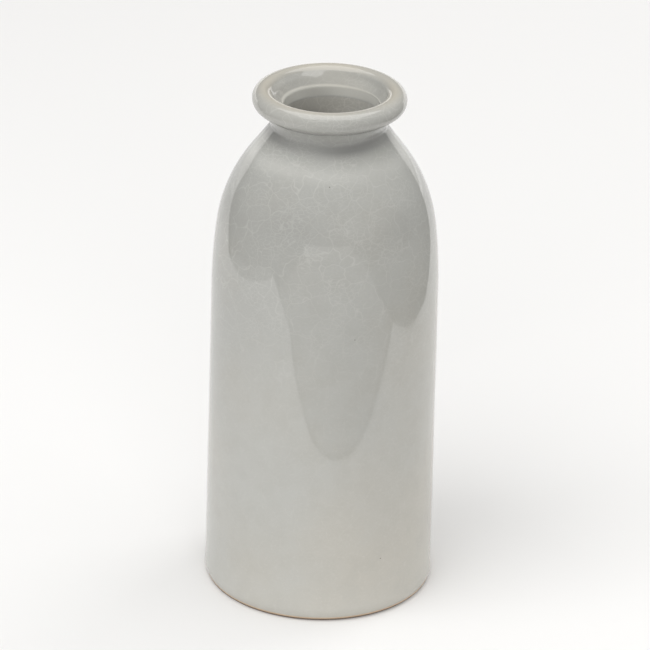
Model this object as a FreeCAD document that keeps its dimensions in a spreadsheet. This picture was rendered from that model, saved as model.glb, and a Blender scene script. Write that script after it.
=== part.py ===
"""Ceramic bud vase: a thrown stoneware bottle with a rolled lip, and its coats of glaze.

The frame is in millimetres, +Z up along the vase's axis, with its origin at the centre of the foot
ring's underside. Every piece is one solid of revolution. Its half section is sketched on the XZ
plane, where the first sketch axis is the radius and the second is the height.
"""
import FreeCAD, Part
import math
import os
import Sketcher

# The sheet's cells: name, millimetres or degrees, what it is.
SHEET = (
    ("recess_height", 2.0, "height of the hollow inside the foot ring"),
    ("recess_corner", 1.5, "round between the hollow's roof and its side"),
    ("recess_slope", 50.0, "how steeply the hollow's side falls to the foot ring"),
    ("ring_inner_round", 0.8, "round on the foot ring's inner edge"),
    ("ring_width", 4.6, "flat face of the foot ring, which stands on the table"),
    ("foot_round", 1.0, "round on the foot's outer edge"),
    ("wall_top_radius", 34.2, "clay radius where the straight wall ends"),
    ("wall_top_height", 98.7, "height where the straight wall ends"),
    ("wall_lean", 0.54, "how far the wall leans in from upright"),
    ("upper_wall_radius", 163.4, "long curve above the straight wall"),
    ("upper_wall_turn", 7.26, "turn of the long curve"),
    ("shoulder_radius", 48.8, "rounded shoulder"),
    ("shoulder_turn", 28.5, "turn of the rounded shoulder"),
    ("cone_length", 10.6, "straight top of the shoulder, up to the waist"),
    ("waist_round", 1.9, "hollow round at the waist"),
    ("waist_turn", 59.9, "turn at the waist"),
    ("collar_length", 3.05, "flared collar under the lip"),
    ("crease_round", 1.2, "hollow round where the collar meets the lip"),
    ("crease_turn", 36.6, "turn at the crease"),
    ("underside_length", 2.9, "straight underside of the lip"),
    ("lip_round", 2.8, "round of the rolled lip"),
    ("lip_turn", 203.7, "turn of the lip, from its underside over to the funnel"),
    ("throat_radius", 15.0, "clay radius of the throat"),
    ("throat_edge_round", 0.6, "round between the funnel and the throat"),
    ("belly_round", 3.0, "round where the throat opens into the belly"),
    ("wall_thickness", 3.6, "clay wall of the belly and the shoulder"),
    ("floor_height", 6.6, "height of the clay floor inside"),
    ("floor_corner", 10.0, "round between the floor and the wall"),
    ("glaze_thickness", 0.5, "fired glaze, outside and inside"),
    ("glaze_edge", 1.5, "height of the outer glaze's lower edge, above the bare foot"),
    ("seam_height", 154.0, "height in the throat where the two glazes meet"),
    ("base_glaze_radius", 25.0, "glazed disc on the hollow's roof"),
    ("base_glaze_thickness", 0.4, "fired glaze under the foot"),
    ("base_glaze_round", 0.3, "round on the disc's edge"),
)


class Size:
    """A length or an angle, held as a number and as the expression that gives it in the sheet."""

    def __init__(self, value, text):
        self.value = value
        self.text = text

    def __add__(self, other):
        return Size(self.value + other.value, f"({self.text} + {other.text})")

    def __sub__(self, other):
        return Size(self.value - other.value, f"({self.text} - {other.text})")

    def __mul__(self, other):
        return Size(self.value * other.value, f"({self.text} * {other.text})")


def plain(value):
    """A number that no cell drives, such as a right angle."""
    return Size(value, str(value))


def sine(angle):
    return Size(math.sin(math.radians(angle.value)), f"sin({angle.text} * 1 deg)")


def cosine(angle):
    return Size(math.cos(math.radians(angle.value)), f"cos({angle.text} * 1 deg)")


def make_sheet(document):
    """Fill the sheet of driving sizes and return them by name."""
    sheet = document.addObject("Spreadsheet::Sheet", "sizes")
    sizes = {}
    for row, (name, value, note) in enumerate(SHEET, start=1):
        sheet.set(f"A{row}", name)
        sheet.set(f"B{row}", str(value))
        sheet.set(f"C{row}", note)
        sheet.setAlias(f"B{row}", name)
        sizes[name] = Size(value, f"sizes.{name}")
    document.recompute()
    return sizes


class Section:
    """A half section drawn as runs of lines and arcs that follow each other smoothly."""

    ORIGIN = (-1, 1)
    UPRIGHT_AXIS = -2

    def __init__(self, sketch):
        self.sketch = sketch
        self.point = FreeCAD.Vector(0, 0, 0)
        self.heading = plain(0.0)
        self.end = None

    def relate(self, kind, *where):
        return self.sketch.addConstraint(Sketcher.Constraint(kind, *where))

    def dimension(self, kind, where, size):
        """Add a dimension and bind it to the sheet."""
        value = math.radians(size.value) if kind == "Angle" else size.value
        index = self.relate(kind, *where, value)
        self.sketch.setExpression(f"Constraints[{index}]", size.text)

    def place(self, end, radius=None, height=None):
        """Fix the radius or the height of one end of a piece."""
        if radius:
            self.dimension("DistanceX", (*self.ORIGIN, *end), radius)
        if height:
            self.dimension("DistanceY", (*self.ORIGIN, *end), height)

    def start(self, radius, height, heading):
        """Put the pen down at the start of a new run."""
        self.point = FreeCAD.Vector(radius, height, 0)
        self.heading = heading
        self.end = None

    def add(self, shape, near, far):
        """Add a piece and join it smoothly to the last one."""
        index = self.sketch.addGeometry(shape, False)
        if self.end:
            self.relate("Tangent", *self.end, index, near)
        self.end = (index, far)
        return index

    def line(self, length):
        """A straight stretch. A sized length drives it; a bare number is only where it begins."""
        angle = math.radians(self.heading.value)
        driven = isinstance(length, Size)
        reach = length.value if driven else length
        end = self.point + FreeCAD.Vector(math.cos(angle), math.sin(angle), 0) * reach
        index = self.add(Part.LineSegment(self.point, end), 1, 2)
        if driven:
            self.dimension("Distance", (index,), length)
        self.point = end
        return index

    def bend_step(self, radius, turn):
        """The step from one end of an arc to the other; a left turn is positive."""
        before = math.radians(self.heading.value)
        after = math.radians(self.heading.value + turn)
        side = math.copysign(radius, turn)
        return FreeCAD.Vector(math.sin(after) - math.sin(before), math.cos(before) - math.cos(after), 0) * side

    def bend(self, radius, turn, left=True, turn_drives=True):
        """An arc of known radius that turns left, or right, by a known angle."""
        signed_turn = turn.value if left else -turn.value
        before = math.radians(self.heading.value)
        side = math.copysign(radius.value, signed_turn)
        centre = self.point + FreeCAD.Vector(-math.sin(before), math.cos(before), 0) * side
        end = self.point + self.bend_step(radius.value, signed_turn)
        first = self.point if left else end
        first_angle = math.atan2(first.y - centre.y, first.x - centre.x)
        circle = Part.Circle(centre, FreeCAD.Vector(0, 0, 1), radius.value)
        arc = Part.ArcOfCircle(circle, first_angle, first_angle + math.radians(turn.value))
        near, far = (1, 2) if left else (2, 1)
        index = self.add(arc, near, far)
        self.dimension("Radius", (index,), radius)
        if turn_drives:
            self.dimension("Angle", (index,), turn)
        self.point = end
        self.heading = self.heading + turn if left else self.heading - turn
        return index

    def edge(self, first, second, join="Coincident"):
        """A straight edge from one free end to another."""
        ends = [self.sketch.getPoint(*end) for end in (first, second)]
        index = self.sketch.addGeometry(Part.LineSegment(*ends), False)
        self.relate(join, *first, index, 1)
        self.relate(join, *second, index, 2)


def wall_top(sizes, offset):
    """Radius and height where the straight wall ends, on a face moved out from the clay's."""
    radius = sizes["wall_top_radius"] + offset * cosine(sizes["wall_lean"])
    height = sizes["wall_top_height"] + offset * sine(sizes["wall_lean"])
    return radius, height


def wall_to_top(sizes, offset, foot_height):
    """Length of the leaning wall below its top, and its radius at the foot."""
    radius, height = wall_top(sizes, offset)
    lean = math.radians(sizes["wall_lean"].value)
    length = (height.value - foot_height) / math.cos(lean)
    return length, radius.value + length * math.sin(lean)


def draw_upper_wall(section, sizes, offset):
    """The long curve and the rounded shoulder above the wall."""
    section.place(section.end, *wall_top(sizes, offset))
    section.bend(sizes["upper_wall_radius"] + offset, sizes["upper_wall_turn"])
    section.bend(sizes["shoulder_radius"] + offset, sizes["shoulder_turn"])


def draw_neck_and_lip(section, sizes, coat):
    """Outside of the shoulder's top, waist, collar, rolled lip and funnel, down into the throat."""
    section.line(sizes["cone_length"])
    section.bend(sizes["waist_round"] - coat, sizes["waist_turn"], left=False)
    section.line(sizes["collar_length"])
    section.bend(sizes["crease_round"] - coat, sizes["crease_turn"], left=False)
    section.line(sizes["underside_length"])
    section.bend(sizes["lip_round"] + coat, sizes["lip_turn"])
    edge_round = sizes["throat_edge_round"] + coat
    throat_radius = sizes["throat_radius"] - coat
    turn_down = plain(270.0) - section.heading
    step = section.bend_step(edge_round.value, turn_down.value)
    run = throat_radius.value - step.x - section.point.x
    section.line(run / math.cos(math.radians(section.heading.value)))
    section.bend(edge_round, turn_down)
    section.place(section.end, radius=throat_radius)


def draw_inside(section, sizes, coat):
    """Floor, wall and shoulder inside, from the axis up to where the belly narrows to the throat."""
    offset = plain(0.0) - sizes["wall_thickness"] - coat
    floor_height = sizes["floor_height"] + coat
    corner = sizes["floor_corner"] - coat
    turn_up = plain(90.0) + sizes["wall_lean"]
    section.start(0.0, floor_height.value, plain(0.0))
    step = section.bend_step(corner.value, turn_up.value)
    wall_length, wall_foot = wall_to_top(sizes, offset, floor_height.value + step.y)
    floor = section.line(wall_foot - step.x)
    section.relate("Horizontal", floor)
    section.relate("PointOnObject", floor, 1, section.UPRIGHT_AXIS)
    section.place((floor, 1), height=floor_height)
    section.bend(corner, turn_up)
    section.line(wall_length)
    draw_upper_wall(section, sizes, offset)
    belly_round = sizes["belly_round"] + coat
    turn_in = section.heading - plain(90.0)
    step = section.bend_step(belly_round.value, -turn_in.value)
    run = sizes["throat_radius"].value - coat.value - step.x - section.point.x
    section.line(run / math.cos(math.radians(section.heading.value)))
    section.bend(belly_round, turn_in, left=False, turn_drives=False)
    return floor


def new_sketch(body, name):
    """A sketch on the body's own XZ plane."""
    sketch = body.newObject("Sketcher::SketchObject", name)
    plane = next(item for item in body.Origin.OriginFeatures if item.Role == "XZ_Plane")
    sketch.AttachmentSupport = [(plane, "")]
    sketch.MapMode = "FlatFace"
    return sketch


def revolve(body, sketch, name):
    """Turn the section once round the vase's axis."""
    revolution = body.newObject("PartDesign::Revolution", name)
    revolution.Profile = sketch
    revolution.ReferenceAxis = (sketch, ["V_Axis"])
    revolution.Angle = 360.0
    body.Tip = revolution


def new_body(document, name):
    body = document.addObject("PartDesign::Body", name)
    body.Label = name
    body.Placement = FreeCAD.Placement()
    return body


def make_clay_body(document, sizes):
    """The fired pot: trimmed foot ring, wall, shoulder, neck and rolled lip in one piece of clay."""
    body = new_body(document, "clay_body")
    section = Section(new_sketch(body, "clay_section"))
    no_coat = plain(0.0)
    turn_up = plain(90.0) + sizes["wall_lean"]
    slope = sizes["recess_slope"]

    # The underside is worked out from the ring outwards, then drawn from the axis.
    section.heading = plain(0.0)
    foot_step = section.bend_step(sizes["foot_round"].value, turn_up.value)
    corner_step = section.bend_step(sizes["recess_corner"].value, -slope.value)
    section.heading = plain(0.0) - slope
    ring_step = section.bend_step(sizes["ring_inner_round"].value, slope.value)
    side_fall = sizes["recess_height"].value + corner_step.y + ring_step.y
    side_length = side_fall / math.sin(math.radians(slope.value))
    side_run = side_length * math.cos(math.radians(slope.value))
    wall_length, wall_foot = wall_to_top(sizes, no_coat, foot_step.y)
    ring_inner = wall_foot - foot_step.x - sizes["ring_width"].value
    roof_length = ring_inner - ring_step.x - side_run - corner_step.x

    section.start(0.0, sizes["recess_height"].value, plain(0.0))
    roof = section.line(roof_length)
    section.relate("Horizontal", roof)
    section.relate("PointOnObject", roof, 1, section.UPRIGHT_AXIS)
    section.place((roof, 1), height=sizes["recess_height"])
    section.bend(sizes["recess_corner"], slope, left=False)
    section.line(side_length)
    section.bend(sizes["ring_inner_round"], slope)
    ring = section.line(sizes["ring_width"])
    section.place((ring, 1), height=no_coat)
    section.bend(sizes["foot_round"], turn_up)
    section.line(wall_length)
    draw_upper_wall(section, sizes, no_coat)
    draw_neck_and_lip(section, sizes, no_coat)
    throat_top = section.end
    floor = draw_inside(section, sizes, no_coat)
    throat_foot = section.end
    section.edge((roof, 1), (floor, 1))
    section.edge(throat_top, throat_foot, join="Tangent")
    revolve(body, section.sketch, "clay_form")
    return body


def make_outer_glaze(document, sizes):
    """The coat over the outside: from just above the bare foot, over the lip, into the throat."""
    body = new_body(document, "outer_glaze")
    section = Section(new_sketch(body, "outer_glaze_section"))
    feet = []
    tops = []
    for coat in (plain(0.0), sizes["glaze_thickness"]):
        wall_length, wall_foot = wall_to_top(sizes, coat, sizes["glaze_edge"].value)
        section.start(wall_foot, sizes["glaze_edge"].value, plain(90.0) + sizes["wall_lean"])
        wall = section.line(wall_length)
        section.dimension("Angle", (wall,), section.heading)
        section.place((wall, 1), height=sizes["glaze_edge"])
        draw_upper_wall(section, sizes, coat)
        draw_neck_and_lip(section, sizes, coat)
        section.line(section.point.y - sizes["seam_height"].value)
        section.place(section.end, height=sizes["seam_height"])
        feet.append((wall, 1))
        tops.append(section.end)
    section.edge(*feet)
    section.edge(*tops)
    revolve(body, section.sketch, "outer_glaze_form")
    return body


def make_liner_glaze(document, sizes):
    """The coat poured inside: floor, wall and throat, up to the outer glaze."""
    body = new_body(document, "liner_glaze")
    section = Section(new_sketch(body, "liner_glaze_section"))
    floors = []
    tops = []
    for coat in (plain(0.0), sizes["glaze_thickness"]):
        floor = draw_inside(section, sizes, coat)
        throat = section.line(sizes["seam_height"].value - section.point.y)
        section.relate("Vertical", throat)
        section.place(section.end, sizes["throat_radius"] - coat, sizes["seam_height"])
        floors.append((floor, 1))
        tops.append(section.end)
    section.edge(*floors)
    section.edge(*tops)
    revolve(body, section.sketch, "liner_glaze_form")
    return body


def make_base_glaze(document, sizes):
    """The thin glazed disc on the roof of the hollow inside the foot ring."""
    body = new_body(document, "base_glaze")
    section = Section(new_sketch(body, "base_glaze_section"))
    top = sizes["recess_height"]
    bottom = top - sizes["base_glaze_thickness"]
    edge_round = sizes["base_glaze_round"]
    section.start(0.0, bottom.value, plain(0.0))
    lower = section.line(sizes["base_glaze_radius"].value - edge_round.value)
    section.relate("Horizontal", lower)
    section.relate("PointOnObject", lower, 1, section.UPRIGHT_AXIS)
    section.place((lower, 1), height=bottom)
    section.bend(edge_round, plain(90.0))
    section.line(top.value - section.point.y)
    section.place(section.end, sizes["base_glaze_radius"], top)
    rim = section.end
    section.start(0.0, top.value, plain(0.0))
    upper = section.line(sizes["base_glaze_radius"].value)
    section.relate("Horizontal", upper)
    section.relate("PointOnObject", upper, 1, section.UPRIGHT_AXIS)
    section.relate("Coincident", *section.end, *rim)
    section.edge((lower, 1), (upper, 1))
    revolve(body, section.sketch, "base_glaze_form")
    return body


def check(document, bodies):
    """Stop if a feature failed or a piece isn't one good solid."""
    for item in document.Objects:
        if "Invalid" in item.State or "Error" in item.State:
            raise RuntimeError(f"{item.Name} failed: {item.State}")
        if item.TypeId == "Sketcher::SketchObject" and not item.FullyConstrained:
            raise RuntimeError(f"{item.Name} is not fully constrained")
    for body in bodies:
        shape = body.Shape
        if shape.isNull() or not shape.isValid() or len(shape.Solids) != 1:
            raise RuntimeError(f"{body.Label} is not one valid solid")


document = FreeCAD.newDocument("bud_vase")
sizes = make_sheet(document)
bodies = (
    make_clay_body(document, sizes),
    make_outer_glaze(document, sizes),
    make_liner_glaze(document, sizes),
    make_base_glaze(document, sizes),
)
document.recompute()
check(document, bodies)
os.makedirs("parts", exist_ok=True)
for body in bodies:
    body.Shape.exportStep(f"parts/{body.Label}.step")
    print(f"{body.Label}: {body.Shape.Volume:.0f} cubic mm, {body.Shape.BoundBox}")
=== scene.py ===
"""A stoneware bud vase: clay form, outer crackle glaze, poured liner glaze and glaze in the foot."""
import math
import bpy
import numpy as np
from mathutils import Matrix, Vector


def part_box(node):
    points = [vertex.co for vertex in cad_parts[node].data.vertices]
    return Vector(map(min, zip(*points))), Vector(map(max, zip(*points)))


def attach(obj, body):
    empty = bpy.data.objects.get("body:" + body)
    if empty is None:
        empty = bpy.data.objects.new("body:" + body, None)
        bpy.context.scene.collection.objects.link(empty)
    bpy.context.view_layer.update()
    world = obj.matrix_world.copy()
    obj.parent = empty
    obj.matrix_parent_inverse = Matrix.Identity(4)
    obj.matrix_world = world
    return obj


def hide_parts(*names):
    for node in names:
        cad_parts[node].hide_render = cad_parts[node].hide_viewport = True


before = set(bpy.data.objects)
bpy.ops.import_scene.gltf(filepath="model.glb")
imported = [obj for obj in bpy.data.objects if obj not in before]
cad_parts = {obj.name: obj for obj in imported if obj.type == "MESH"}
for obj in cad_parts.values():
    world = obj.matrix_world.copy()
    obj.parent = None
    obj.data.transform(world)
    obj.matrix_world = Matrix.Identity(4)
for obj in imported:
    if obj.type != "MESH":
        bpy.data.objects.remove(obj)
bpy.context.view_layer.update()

# ----------------------------------------------------------------------------------------------
# Clay body. One piece of buff stoneware thrown on a wheel: foot ring and hollow trimmed with a
# loop tool, a wall that leans in, a round shoulder, waist, flared collar and rolled lip.
# ----------------------------------------------------------------------------------------------


def carry(point, heading, steps, spacing):
    """Follow an outline that has its solid on the left. A step is (length, 0) for a straight run
    or (radius, turn) for an arc, whose turn in degrees is positive to the left and whose centre
    is a radius away at right angles to the heading. Returns rows of radius, height, the outward
    normal's two parts, and the outward curve (1 / radius, negative in a hollow)."""
    rows = []
    point = np.array(point, float)
    angle = math.radians(heading)
    for size, turn in steps:
        along = np.array([math.cos(angle), math.sin(angle)])
        left = np.array([-along[1], along[0]])
        sweep = math.radians(turn)
        reach = abs(sweep) * size if turn else size
        count = max(8, math.ceil(reach / spacing), math.ceil(abs(turn) / 6))
        part = np.linspace(0.0, 1.0, count, endpoint=False)
        if turn:
            side = math.copysign(size, turn)
            centre = point + left * side
            angles = angle + sweep * part
            normals = np.stack([np.sin(angles), -np.cos(angles)], axis=1)
            points = centre + normals * side
            angle += sweep
            point = centre + np.array([math.sin(angle), -math.cos(angle)]) * side
            curve = np.full(count, 1.0 / side)
        else:
            normals = np.repeat(-left[None], count, axis=0)
            points = point + along * (size * part[:, None])
            point = point + along * size
            curve = np.zeros(count)
        rows.append(np.column_stack([points, normals, curve]))
    rows.append(np.array([[*point, math.sin(angle), -math.cos(angle), rows[-1][-1, 4]]]))
    return np.vstack(rows)


def flipped(rows):
    """The same outline followed the other way, with its solid on the other side."""
    return rows[::-1] * np.array([1.0, 1.0, -1.0, -1.0, -1.0])


def waves(height, angle, size, pitch, lobes, seed):
    """Gentle unevenness: the mean of several cosines, each with its own whole number of lobes
    round the vase, its own pitch up the vase and its own phase, times the size."""
    dice = np.random.default_rng(seed)
    total = np.zeros(np.broadcast(height, angle).shape)
    count = 7
    for _ in range(count):
        around = dice.integers(0, lobes + 1)
        rise = dice.uniform(0.5, 1.5) * dice.choice([-1.0, 1.0]) * math.tau / pitch
        total += np.cos(around * angle + rise * height + dice.uniform(0.0, math.tau))
    return total * size / math.sqrt(count)


def turned(name, rows, lift, ring=False):
    """A surface turned round the vase's axis. Each outline point goes round the axis at evenly
    spaced angles, moved along its normal by the lift (points x angles). A ring joins its last
    outline point to its first; otherwise both ends lie on the axis and close in a single point."""
    count = lift.shape[1]
    angles = np.arange(count) * math.tau / count
    radius = rows[:, 0:1] + rows[:, 2:3] * lift
    height = rows[:, 1:2] + rows[:, 3:4] * lift
    points = np.stack([radius * np.cos(angles), radius * np.sin(angles), height], axis=2)
    body = points if ring else points[1:-1]
    grid = np.arange(body.shape[0] * count).reshape(body.shape[0], count)
    lower = grid if ring else grid[:-1]
    upper = np.roll(grid, -1, axis=0) if ring else grid[1:]
    quads = np.stack([lower, np.roll(lower, -1, 1), np.roll(upper, -1, 1), upper], axis=2)
    faces = quads.reshape(-1, 4).tolist()
    vertices = body.reshape(-1, 3)
    if not ring:
        ends = points[[0, -1]].mean(axis=1)
        first, last = grid.size, grid.size + 1
        start, finish = grid[0], grid[-1]
        faces += np.stack([np.roll(start, -1), start, np.full(count, first)], axis=1).tolist()
        faces += np.stack([finish, np.roll(finish, -1), np.full(count, last)], axis=1).tolist()
        vertices = np.vstack([vertices, ends])
    mesh = bpy.data.meshes.new(name)
    mesh.from_pydata(vertices, [], faces)
    mesh.polygons.foreach_set("use_smooth", np.ones(len(mesh.polygons), bool))
    mesh.set_sharp_from_angle(angle=math.radians(45.0))
    piece = bpy.data.objects.new(name, mesh)
    bpy.context.collection.objects.link(piece)
    return piece


def band(values, middle, spread):
    """1 in the middle, falling off as exp(-x squared) to nothing about two spreads away."""
    return np.exp(-(((values - middle) / spread) ** 2))


def cover(piece, name, values):
    """Keep a number for each point of a piece, for its material to read."""
    data = piece.data.attributes.new(name, "FLOAT", "POINT").data
    data.foreach_set("value", np.ascontiguousarray(values, np.float32).ravel())


class Field:
    """A number that varies over a surface. Arithmetic on it adds Math nodes."""

    def __init__(self, finish, socket):
        self.finish = finish
        self.socket = socket

    def math(self, operation, *values):
        node = self.finish.node("ShaderNodeMath", {"operation": operation}, dict(enumerate(values)))
        return Field(self.finish, node.outputs[0])

    def __add__(self, other):
        return self.math("ADD", self, other)

    def __sub__(self, other):
        return self.math("SUBTRACT", self, other)

    def __rsub__(self, other):
        return self.math("SUBTRACT", other, self)

    def __mul__(self, other):
        return self.math("MULTIPLY", self, other)

    __radd__ = __add__


class Finish:
    """A material built from nodes, with the few patterns that fired clay and glaze need."""

    def __init__(self, name):
        self.material = bpy.data.materials.new(name)
        self.material.use_nodes = True
        self.tree = self.material.node_tree
        self.tree.nodes.clear()
        place = self.node("ShaderNodeTexCoord").outputs["Object"]
        self.place = self.vector("SCALE", {0: place, "Scale": 1000.0})

    def node(self, kind, settings=None, sockets=None):
        """Add a node: its settings first, then its sockets, each a value or a link."""
        made = self.tree.nodes.new(kind)
        for name, value in (settings or {}).items():
            setattr(made, name, value)
        for name, value in (sockets or {}).items():
            value = value.socket if isinstance(value, Field) else value
            if isinstance(value, bpy.types.NodeSocket):
                self.tree.links.new(value, made.inputs[name])
            else:
                made.inputs[name].default_value = value
        return made

    def vector(self, operation, sockets):
        """Arithmetic on coordinates."""
        node = self.node("ShaderNodeVectorMath", {"operation": operation}, sockets)
        return node.outputs[0]

    def attribute(self, name):
        """The number that cover() kept on the piece, or 0 where there is none."""
        made = self.node("ShaderNodeAttribute", {"attribute_name": name})
        return Field(self, made.outputs["Fac"])

    def axis(self, name):
        """One coordinate of the surface, in millimetres."""
        parts = self.node("ShaderNodeSeparateXYZ", None, {0: self.place})
        return Field(self, parts.outputs[name])

    def cloud(self, grain, detail=2.0):
        """Soft noise from 0 to 1 whose patches are about one grain, in millimetres, across."""
        sockets = {"Vector": self.place, "Scale": 1.0 / grain, "Detail": detail}
        return Field(self, self.node("ShaderNodeTexNoise", None, sockets).outputs["Fac"])

    def wander(self, grain, amount):
        """The surface's coordinates pushed about by noise, in millimetres."""
        sockets = {"Vector": self.place, "Scale": 1.0 / grain, "Detail": 2.0}
        push = self.node("ShaderNodeTexNoise", None, sockets).outputs["Color"]
        push = self.vector("SUBTRACT", {0: push, 1: (0.5, 0.5, 0.5)})
        push = self.vector("SCALE", {0: push, "Scale": amount})
        return self.vector("ADD", {0: self.place, 1: push})

    def flattened(self, place, times):
        """Coordinates that make a pattern this many times wider than it is high."""
        return self.vector("MULTIPLY", {0: place, 1: (1.0, 1.0, times)})

    def ease(self, value, low, high):
        """0 below low and 1 above high, with a smooth slope between."""
        settings = {"interpolation_type": "SMOOTHSTEP"}
        sockets = {"Value": value, "From Min": low, "From Max": high}
        return Field(self, self.node("ShaderNodeMapRange", settings, sockets).outputs["Result"])

    def cracks(self, cell, width, place):
        """1 on a network of lines of this width between cells of this size, in millimetres."""
        settings = {"feature": "DISTANCE_TO_EDGE"}
        node = self.node("ShaderNodeTexVoronoi", settings, {"Vector": place, "Scale": 1.0 / cell})
        away = Field(self, node.outputs["Distance"]) * cell
        return 1.0 - self.ease(away, 0.0, width)

    def specks(self, cell, radius, share):
        """1 on round specks of this radius, in a share of cells of this size, in millimetres."""
        node = self.node("ShaderNodeTexVoronoi", None, {"Vector": self.place, "Scale": 1.0 / cell})
        away = Field(self, node.outputs["Distance"]) * cell
        pick = self.node("ShaderNodeSeparateColor", None, {0: node.outputs["Color"]})
        chosen = 1.0 - self.ease(Field(self, pick.outputs[0]), share, share + 0.001)
        return (1.0 - self.ease(away, radius * 0.6, radius)) * chosen

    def blend(self, mask, first, second):
        """The first colour where the mask is 0 and the second where it is 1."""
        sockets = {"Factor": mask, 6: first, 7: second}
        return self.node("ShaderNodeMix", {"data_type": "RGBA"}, sockets).outputs[2]

    def bump(self, height, depth, below=None):
        """A normal from a height field of this depth, in millimetres."""
        sockets = {"Height": height, "Strength": 1.0, "Distance": depth / 1000.0}
        if below:
            sockets["Normal"] = below
        return self.node("ShaderNodeBump", None, sockets).outputs["Normal"]

    def close(self, **sockets):
        """Give the finished surface its shader and return the material."""
        sockets = {name.replace("_", " "): value for name, value in sockets.items()}
        shader = self.node("ShaderNodeBsdfPrincipled", None, sockets)
        self.node("ShaderNodeOutputMaterial", None, {"Surface": shader.outputs[0]})
        return self.material


lean_degrees = 0.54
lean = math.radians(lean_degrees)
wall_heading = 90.0 + lean_degrees
wall_top = (0.0342, 0.0987)
clay_wall = 0.0036
throat_radius = 0.0150
throat_shift = 0.0009
around_count = 256
around = np.arange(around_count) * math.tau / around_count

foot_round = 0.0010
foot_height = foot_round * (1.0 + math.sin(lean))
shoulder_steps = [(0.1634, 7.26), (0.0488, 28.5)]
neck_steps = [(0.0106, 0), (0.0019, -59.9), (0.00305, 0), (0.0012, -36.6), (0.0029, 0), (0.0028, 203.7)]
funnel_heading = wall_heading + sum(turn for _, turn in shoulder_steps + neck_steps)


def clay_outside(low, spacing):
    """The clay's outer face from a height on the wall, over the lip and into the throat's edge."""
    length = (wall_top[1] - low) / math.cos(lean)
    start = (wall_top[0] + length * math.sin(lean), low)
    steps = [(length, 0), *shoulder_steps, *neck_steps]
    lip_end = carry(start, wall_heading, steps, spacing)[-1]
    edge_round = 0.0006
    drop = math.radians(funnel_heading)
    edge_run = edge_round * (-1.0 - math.sin(drop))
    funnel = (throat_radius - edge_run - lip_end[0]) / math.cos(drop)
    steps += [(funnel, 0), (edge_round, 270.0 - funnel_heading)]
    return carry(start, wall_heading, steps, spacing)


def clay_inside(high, spacing):
    """The clay's inner face, upwards from the floor's centre to a height in the throat."""
    floor, corner, belly = 0.0066, 0.0100, 0.0030
    top = (wall_top[0] - clay_wall * math.cos(lean), wall_top[1] - clay_wall * math.sin(lean))
    wall = (top[1] - floor - corner * (1.0 + math.sin(lean))) / math.cos(lean)
    flat = top[0] + wall * math.sin(lean) - corner * math.cos(lean)
    curves = [(radius - clay_wall, turn) for radius, turn in shoulder_steps]
    steps = [(flat, 0), (corner, wall_heading), (wall, 0), *curves]
    shoulder_end = carry((0.0, floor), 0.0, steps, spacing)[-1]
    tilt = math.radians(wall_heading + sum(turn for _, turn in curves))
    cone = (throat_radius + belly * (1.0 - math.sin(tilt)) - shoulder_end[0]) / math.cos(tilt)
    rise = shoulder_end[1] + cone * math.sin(tilt) - belly * math.cos(tilt)
    steps += [(cone, 0), (belly, 90.0 - math.degrees(tilt)), (high - rise, 0)]
    return flipped(carry((0.0, floor), 0.0, steps, spacing))


def clay_underside(spacing):
    """The hollow's roof, its sloping side, the foot ring and the round on the foot's edge."""
    roof, corner, slope, inner_round, ring = 0.0020, 0.0015, 50.0, 0.0008, 0.0046
    tilt = math.radians(slope)
    side = (roof - (corner + inner_round) * (1.0 - math.cos(tilt))) / math.sin(tilt)
    foot_radius = wall_top[0] + (wall_top[1] - foot_height) * math.tan(lean)
    ring_start = foot_radius - foot_round * math.cos(lean) - ring
    flat = ring_start - (corner + inner_round) * math.sin(tilt) - side * math.cos(tilt)
    hollow = [(flat, 0), (corner, -slope), (side, 0)]
    foot = [(inner_round, slope), (ring, 0), (foot_round, wall_heading)]
    return carry((0.0, roof), 0.0, hollow + foot, spacing)


def ramp(values, start, length):
    """0 up to the start, then rising evenly to 1 over the length."""
    return np.clip((values - start) / length, 0.0, 1.0)


def clay_lift(rows):
    """How far the thrown clay strays from its outline: slow waves, fading out under the foot, and
    a throat that stands a little to one side, fading out at the lip and in the belly."""
    radius, height, inward = rows[:, 0:1], rows[:, 1:2], np.clip(-rows[:, 2:3], 0.0, 1.0)
    slow = waves(height, around, 0.00006, 0.075, 3, 11) * ramp(height, 0.0, 0.010)
    above_belly = ramp(height, 0.146, 0.004)
    within_lip = 1.0 - ramp(radius, 0.0168, 0.001)
    return slow - throat_shift * inward * above_belly * within_lip * np.cos(around)


outside = clay_outside(foot_height, 0.0020)
inside = clay_inside(outside[-1, 1], 0.0025)
underside = clay_underside(0.0008)
clay_rows = np.vstack([underside[:-1], outside[:-1], inside])
trimmed = clay_rows[:, 1:2] < foot_height
tool_depth, tool_pitch = 0.00006, 0.0011
tool_spiral = np.cos(clay_rows[:, 0:1] * math.tau / tool_pitch + around)
tool_marks = 0.5 * tool_depth * (tool_spiral - 1.0) * trimmed
clay = turned("vase_clay", clay_rows, clay_lift(clay_rows) + tool_marks)
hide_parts("clay_body")
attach(clay, "root")

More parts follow.
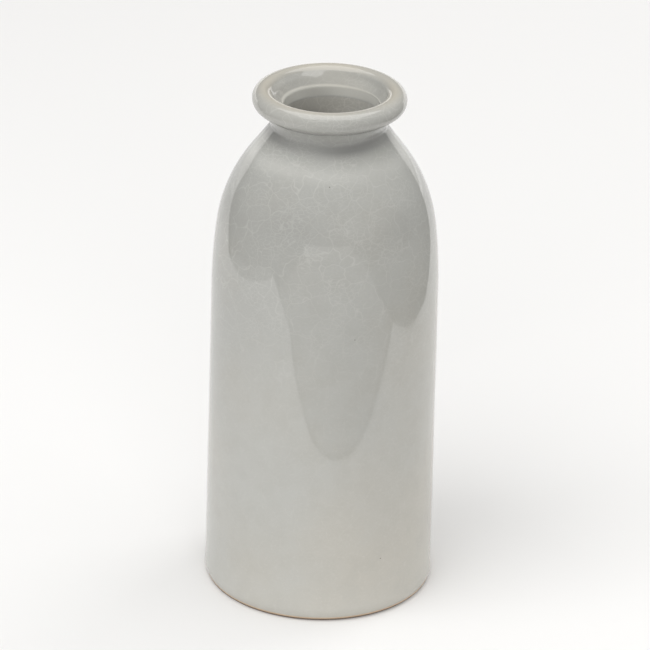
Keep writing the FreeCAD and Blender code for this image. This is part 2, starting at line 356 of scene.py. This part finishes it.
# Painted shade: a dark brown band on the foot's lowest rounded edge stands for the shadow in the gap
# under the foot.
foot_gap_shade = band(clay_rows[1:-1, 1], 0.0003, 0.0005) * (clay_rows[1:-1, 0] > 0.0335)
cover(clay, "foot_gap_shade", np.append(np.repeat(foot_gap_shade, around_count), [0.0, 0.0]))
stoneware = Finish("fired buff stoneware")
grog = stoneware.cloud(0.35, 4.0)
patches = stoneware.cloud(9.0)
buff = stoneware.blend(patches, (0.56, 0.42, 0.29, 1.0), (0.66, 0.53, 0.39, 1.0))
buff = stoneware.blend(stoneware.ease(grog, 0.45, 0.75) * 0.5, buff, (0.72, 0.62, 0.50, 1.0))
buff = stoneware.blend(stoneware.specks(1.6, 0.16, 0.25) * 0.8, buff, (0.13, 0.08, 0.05, 1.0))
# The painted shade under the foot, in dark brown.
buff = stoneware.blend(stoneware.attribute("foot_gap_shade"), buff, (0.11, 0.07, 0.045, 1.0))
grit = stoneware.bump(grog, 0.05)
clay.data.materials.append(stoneware.close(Base_Color=buff, Roughness=0.8 + grog * 0.15, Normal=grit))

# ----------------------------------------------------------------------------------------------
# Outer glaze. A glossy grey-green coat about half a millimetre thick, dipped upside down after
# the foot was waxed: it runs thin over the lip, gathers at the waist and ends in a soft roll.
# ----------------------------------------------------------------------------------------------

glaze_depth = 0.0005
seam_height = 0.1540
edge_height = 0.0012


def glaze_finish(name, cool, warm, thin_and_highlight, deep_and_shade):
    """Crackle glaze: cool and warm patches, a warm flush low on one side, a darker grey high on the
    other, light crazing in two sizes whose lighter lines are partly painted glint, iron specks, a paler
    grey that is painted highlight, a warm cream that is partly glaze run thin over the lip and partly
    painted highlight, and a deep grey that is partly glaze gathered at the waist and partly painted
    shade."""
    finish = Finish(name)
    broad = finish.cloud(38.0, 1.0)
    middle = finish.cloud(6.0, 3.0)
    fine = finish.cloud(0.8, 3.0)
    low_side = finish.ease(finish.axis("X") * 0.6 - finish.axis("Z") * 0.5, -60.0, 20.0)
    warmth = finish.ease(broad * 0.6 + middle * 0.25 + low_side * 0.35, 0.35, 0.85)
    colour = finish.blend(warmth, cool, warm)
    # Darker grey high on the -x side: a blend towards the deep grey that grows higher up and towards
    # -x.
    darker_high_side = finish.ease(finish.axis("Z") * 0.5 - finish.axis("X"), 45.0, 85.0)
    colour = finish.blend(darker_high_side * 0.26, colour, deep_and_shade)
    darker = tuple(part * 0.78 for part in cool[:3]) + (1.0,)
    lighter = tuple(min(part * 1.45, 1.0) for part in cool[:3]) + (1.0,)
    colour = finish.blend(finish.ease(middle, 0.35, 0.75) * 0.18, colour, darker)
    colour = finish.blend(finish.ease(fine, 0.5, 0.8) * 0.10, colour, lighter)
    crazing = finish.cracks(2.0, 0.15, finish.flattened(finish.wander(4.0, 2.6), 1.9))
    cracks = finish.cracks(6.0, 0.16, finish.wander(8.0, 7.0))
    opened = finish.ease(finish.cloud(11.0), 0.35, 0.65)
    crazing = crazing * (0.25 + opened * 0.75)
    lines = crazing.math("MAXIMUM", crazing, cracks)
    # The crazing lines are painted lighter: partly the crazing's own colour, partly a painted glint
    # that grows stronger higher up the vase.
    rising = finish.ease(finish.axis("Z"), 70.0, 125.0)
    colour = finish.blend(lines * (0.07 + rising * 0.20), colour, lighter)
    # Painted highlight and painted reflection: a paler grey on the cone under the neck, in the throat,
    # on the lip's crest and near the foot.
    colour = finish.blend(finish.attribute("painted_highlight"), colour, lighter)
    # Partly glaze run thin over the lip, partly painted highlight: a warm cream on the lip, its crest,
    # inside the lip, down the funnel and in the throat.
    colour = finish.blend(finish.attribute("thin_glaze_and_highlight"), colour, thin_and_highlight)
    # Partly glaze gathered at the waist, partly painted shade: a deep grey at the waist and just below
    # it, on the shoulder, in the crease under the lip and in the funnel.
    colour = finish.blend(finish.attribute("pooled_glaze_and_shade"), colour, deep_and_shade)
    colour = finish.blend(finish.specks(9.0, 0.22, 0.14) * 0.75, colour, (0.10, 0.085, 0.06, 1.0))
    dents = finish.bump(lines, -0.0015)
    skin = finish.bump(finish.cloud(2.6, 1.0), 0.002, dents)
    return finish.close(Base_Color=colour, Roughness=0.02 + fine * 0.02, IOR=1.6, Normal=skin)


outer = clay_outside(edge_height, 0.0016)
outer = np.vstack([outer, carry(outer[-1, :2], 270.0, [(outer[-1, 1] - seam_height, 0)], 0.0006)[1:]])
reach = np.concatenate([[0.0], np.cumsum(np.hypot(*np.diff(outer[:, :2], axis=0).T))])
nose = np.sqrt(1.0 - (1.0 - ramp(reach, 0.0, 0.0007)) ** 2)
edge_roll = 0.0002 * band(reach, 0.0014, 0.0013)
tilt = np.degrees(np.arctan2(outer[:, 3], outer[:, 2]))
lip_curve = 300.0
on_lip = (outer[:, 4] > lip_curve) & (outer[:, 1] > seam_height)
# Bands on the outline for the glaze's shades. The crest and waist bands also thin and thicken the coat,
# and all of them set painted highlight and painted shade in its colour.
crest = on_lip * band(tilt, 88.0, 32.0)
inner_lip = on_lip * band(tilt, 112.0, 26.0)
crease = band(outer[:, 1], 0.1556, 0.0012) * (outer[:, 0] > 0.0175)
waist = band(outer[:, 1], 0.1510, 0.0024)
below_waist = band(outer[:, 1], 0.1492, 0.0015)
cone = band(outer[:, 1], 0.1432, 0.0023)
shoulder = band(outer[:, 1], 0.1285, 0.0075)
foot_pale = band(outer[:, 1], 0.0, 0.0120)
coat = (glaze_depth * (1.0 - 0.30 * crest + 0.15 * waist) + edge_roll) * nose
uneven = waves(outer[:, 1:2], around, 0.00002, 0.050, 5, 23) * nose[:, None]
lift_out = coat[:, None] + uneven + clay_lift(outer)
backing = clay_outside(edge_height, 0.0040)[1:]
backing = np.vstack([backing, outer[-1:]])[::-1]
rows = np.vstack([outer, backing])
lift = np.vstack([lift_out, clay_lift(backing)])
shell = turned("vase_outer_glaze", rows, lift, ring=True)
past_crest = np.arange(len(outer)) > outer[:, 1].argmax()
throat_edge = throat_radius + 0.0004
funnel = (past_crest & (outer[:, 0] > throat_edge)) * ramp(tilt, 95.0, 30.0)
throat = (past_crest & (outer[:, 0] < throat_edge)) * ramp(outer[:, 1], seam_height, 0.0008)
# Shade painted into the glaze colour by height: painted highlight on the cone under the neck, in the
# throat, a little on the crest and near the foot.
painted_highlight = 0.06 * crest + np.where(past_crest, 0.9 * throat, 0.35 * cone + 0.12 * foot_pale)
# Warm cream: glaze run thin over the lip, plus painted highlight on the crest, inside the lip and down
# the funnel, and painted light in the throat.
thin_glaze_and_highlight = 0.10 * on_lip + 0.50 * crest + 0.45 * inner_lip + 0.20 * throat + 0.3 * funnel
# Deep grey: glaze gathered at the waist, plus painted shade from the lip at the waist and below it, on
# the shoulder, in the crease under the lip and in the funnel.
pooled_glaze_and_shade = np.maximum(0.42 * waist + 0.60 * below_waist + 0.17 * shoulder, 0.28 * crease)
pooled_glaze_and_shade = np.where(past_crest, 0.25 * funnel, pooled_glaze_and_shade)
shades = (("painted_highlight", painted_highlight, 29), ("thin_glaze_and_highlight", thin_glaze_and_highlight, 31), ("pooled_glaze_and_shade", pooled_glaze_and_shade, 37))
for name, values, seed in shades:
    values = np.concatenate([values, np.zeros(len(backing))])[:, None]
    patchy = 1.0 + waves(rows[:, 1:2], around, 0.28, 0.02, 6, seed)
    cover(shell, name, np.clip(values * patchy, 0.0, 1.0))
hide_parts("outer_glaze")
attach(shell, "root")
celadon = glaze_finish("crackle celadon glaze", (0.455, 0.455, 0.428, 1.0), (0.475, 0.455, 0.405, 1.0),
                       (0.54, 0.51, 0.44, 1.0), (0.255, 0.255, 0.245, 1.0))
shell.data.materials.append(celadon)

# ----------------------------------------------------------------------------------------------
# Liner glaze. The same glaze poured in and out of the vase, over throwing rings that the
# potter's fingers left in the belly. It meets the outer coat inside the throat.
# ----------------------------------------------------------------------------------------------

inner = clay_inside(seam_height, 0.0022)
ring_depth, ring_pitch, belly_radius = 0.00012, 0.0062, 0.020
rings = ring_depth * np.cos(inner[:, 1:2] * math.tau / ring_pitch + around)
rings = rings * (inner[:, 0:1] > belly_radius)
inner_lift = clay_lift(inner)
front = np.full((len(inner), 1), glaze_depth) + rings + inner_lift
face = np.vstack([inner[::-1], inner])
liner = turned("vase_liner_glaze", face, np.vstack([inner_lift[::-1], front]))
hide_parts("liner_glaze")
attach(liner, "root")
# The liner's colours are lighter than the outer coat's: painted light inside the vase.
lining = glaze_finish("poured liner glaze", (0.52, 0.51, 0.47, 1.0), (0.51, 0.47, 0.40, 1.0),
                      (0.60, 0.55, 0.45, 1.0), (0.30, 0.28, 0.24, 1.0))
liner.data.materials.append(lining)

# ----------------------------------------------------------------------------------------------
# Base glaze. A thin disc of the outer glaze, brushed on the roof of the hollow in the foot.
# ----------------------------------------------------------------------------------------------

low, high = (corner[2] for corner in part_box("base_glaze"))
disc_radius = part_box("base_glaze")[1][0]
disc_round = 0.0003
steps = [(disc_radius - disc_round, 0), (disc_round, 90.0), (high - low - disc_round, 0)]
lower_face = carry((0.0, low), 0.0, steps, 0.0009)
upper_face = carry((disc_radius, high), 180.0, [(disc_radius, 0)], 0.0030)
disc_rows = np.vstack([lower_face, upper_face[1:]])
below = (disc_rows[:, 3:4] < 0.0) * (disc_rows[:, 0:1] > 0.0)
brushed = below * waves(disc_rows[:, 0:1], around, 0.00005, 0.012, 4, 41)
disc = turned("vase_base_glaze", disc_rows, brushed)
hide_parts("base_glaze")
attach(disc, "root")
disc.data.materials.append(celadon)

# ----------------------------------------------------------------------------------------------
# Stage. A pale floor that only the camera sees, and what only the vase sees: a white sheet that
# ends not far in front of it, a dark table, and two far walls, which give the glaze its reflections.
# ----------------------------------------------------------------------------------------------


def seen_by(surface, *rays):
    """Let only these kinds of ray see a surface or a lamp."""
    for ray in ("camera", "diffuse", "glossy", "shadow", "transmission", "volume_scatter"):
        setattr(surface, f"visible_{ray}", ray in rays)


def stage_surface(name, mesh, colour, glow=0.0):
    """A dull stage surface of one colour."""
    material = bpy.data.materials.new(name)
    material.use_nodes = True
    shader = material.node_tree.nodes["Principled BSDF"]
    shader.inputs["Base Color"].default_value = (*colour, 1.0)
    shader.inputs["Roughness"].default_value = 1.0
    shader.inputs["Specular IOR Level"].default_value = 0.0
    shader.inputs["Emission Color"].default_value = (1.0, 0.98, 0.95, 1.0)
    shader.inputs["Emission Strength"].default_value = glow
    mesh.materials.append(material)
    surface = bpy.data.objects.new(name, mesh)
    bpy.context.collection.objects.link(surface)
    return surface


def unseen(name, shapes, colour, glow=0.0):
    """Flat stage surfaces that light the vase and show in its gloss, but not to the camera. Each
    shape is a list of corners."""
    corners = [corner for shape in shapes for corner in shape]
    ends = np.cumsum([len(shape) for shape in shapes])
    faces = [list(range(end - len(shape), end)) for end, shape in zip(ends.tolist(), shapes)]
    mesh = bpy.data.meshes.new(name)
    mesh.from_pydata(corners, [], faces)
    surface = stage_surface(name, mesh, colour, glow)
    seen_by(surface, "diffuse", "glossy")


white, black = (0.86, 0.853, 0.842), (0.0, 0.0, 0.0)
flat_radius, spoke_count = 1.5, 96
radii = np.linspace(0.0, 5.0, 60)[1:]
rises = 0.9 * np.clip(radii - flat_radius, 0.0, None) ** 2 / (1.0 + 0.3 * radii)
spokes = np.arange(spoke_count) * math.tau / spoke_count
bowl = np.stack([np.outer(radii, np.cos(spokes)), np.outer(radii, np.sin(spokes)),
                 np.outer(rises, np.ones(spoke_count))], axis=2).reshape(-1, 3)
grid = np.arange(len(bowl)).reshape(-1, spoke_count)
quads = np.stack([grid[:-1], grid[1:], np.roll(grid[1:], -1, 1), np.roll(grid[:-1], -1, 1)], axis=2)
mesh = bpy.data.meshes.new("floor")
mesh.from_pydata(bowl, [], [*quads.reshape(-1, 4).tolist(), grid[0].tolist()])
mesh.polygons.foreach_set("use_smooth", np.ones(len(mesh.polygons), bool))
floor = stage_surface("floor", mesh, white)
seen_by(floor, "camera")
under = -0.0001
paper_edge = [(0.235, -0.090), (0.230, 0.110), (0.280, 0.245), (0.850, 0.860), (-1.100, 0.800),
              (-0.350, 0.150), (-0.350, -0.285), (-0.280, -0.270), (-0.020, -0.164)]
unseen("white_paper", [[(x, y, under) for x, y in paper_edge]], white)
far_paper = [(0.850, 0.860, under), (3.3, 3.5, under), (-3.3, 2.7, under), (-1.100, 0.800, under)]
back_wall = [(3.3, 3.5, under), (3.3, 3.5, 0.78), (-3.3, 2.7, 0.78), (-3.3, 2.7, under)]
unseen("far_paper", [far_paper], white, 0.25)
unseen("back_wall", [back_wall], white, 0.50)
wall_place, wall_top_edge = -3.0, 0.37
wall_left, wall_right = -1.15, 1.60
table_edge = [(0.238, -0.097), (-0.020, -0.169), (-0.272, -0.273), (-0.283, -0.354), (-0.334, -0.634),
              (-0.600, -1.360), (0.950, -1.360), (0.458, -0.520)]
side_edge = [(-0.355, 0.100), (-0.355, -0.285), (-0.450, -0.270), (-0.400, 0.100)]
table = [[(x, y, under) for x, y in edge] for edge in (table_edge, side_edge)]
foot_left, foot_right = (wall_left, wall_place, under), (wall_right, wall_place, under)
far_table = [(-0.600, -1.360, under), foot_left, foot_right, (0.950, -1.360, under)]
far_wall = [foot_left, foot_right, (wall_right, wall_place, wall_top_edge),
            (wall_left, wall_place, wall_top_edge)]
unseen("dark_table", table, black, 0.36)
unseen("far_table", [far_table], black, 0.55)
unseen("far_wall", [far_wall], black, 0.65)


def softbox(name, place, width, depth, power, *rays):
    """A soft studio light that faces the middle of the vase, for these kinds of ray."""
    light = bpy.data.lights.new(name, "AREA")
    light.shape = "RECTANGLE"
    light.size = width
    light.size_y = depth
    light.energy = power
    lamp = bpy.data.objects.new(name, light)
    bpy.context.collection.objects.link(lamp)
    lamp.location = place
    aim = np.array([0.0, 0.0, 0.08]) - np.array(place)
    back = -aim / np.linalg.norm(aim)
    across = np.cross([0.0, 1.0, 0.0] if abs(back[2]) > 0.95 else [0.0, 0.0, 1.0], back)
    across /= np.linalg.norm(across)
    turn = np.column_stack([across, np.cross(back, across), back])
    lamp.rotation_euler = Matrix(turn.tolist()).to_euler()
    seen_by(lamp, *rays)


softbox("key", (-0.69, -0.48, 1.33), 0.95, 0.95, 8.9, "diffuse", "shadow")
softbox("overhead", (0.0, -0.05, 1.65), 2.2, 2.2, 6.3, "diffuse", "shadow")
softbox("ceiling", (0.0, 0.05, 1.66), 1.9, 1.9, 21.0, "glossy")
softbox("front_fill", (-0.10, -1.75, 0.90), 1.6, 1.2, 13.0, "diffuse", "shadow")
softbox("side_fill", (1.70, -0.20, 0.90), 1.2, 1.2, 3.2, "diffuse", "shadow")
softbox("back_fill", (1.30, 1.10, 0.90), 1.2, 1.2, 10.6, "diffuse", "shadow")

world = bpy.data.worlds.new("pale room")
world.use_nodes = True
world.node_tree.nodes["Background"].inputs["Color"].default_value = (1.0, 1.0, 1.0, 1.0)
world.node_tree.nodes["Background"].inputs["Strength"].default_value = 0.46
world.cycles_visibility.glossy = False
bpy.context.scene.world = world
bpy.context.scene.view_settings.view_transform = "Standard"

# ----------------------------------------------------------------------------------------------
# Camera. It looks down at the vase with a long lens and leans a little to one side.
# ----------------------------------------------------------------------------------------------

elevation = math.radians(25.27)
roll = math.radians(1.467)
distance = 1.2
aim = np.array([0.00035, 0.0, 0.0843])
forward = np.array([0.0, math.cos(elevation), -math.sin(elevation)])
level = np.array([1.0, 0.0, 0.0])
upward = np.array([0.0, math.sin(elevation), math.cos(elevation)])
right = level * math.cos(roll) + upward * math.sin(roll)
top = upward * math.cos(roll) - level * math.sin(roll)
data = bpy.data.cameras.new("camera")
data.sensor_width = 36.0
data.lens = 216.5
camera = bpy.data.objects.new("camera", data)
turn = Matrix(np.column_stack([right, top, -forward]).tolist())
camera.matrix_world = Matrix.Translation((aim - forward * distance).tolist()) @ turn.to_4x4()
bpy.context.collection.objects.link(camera)
bpy.context.scene.camera = camera
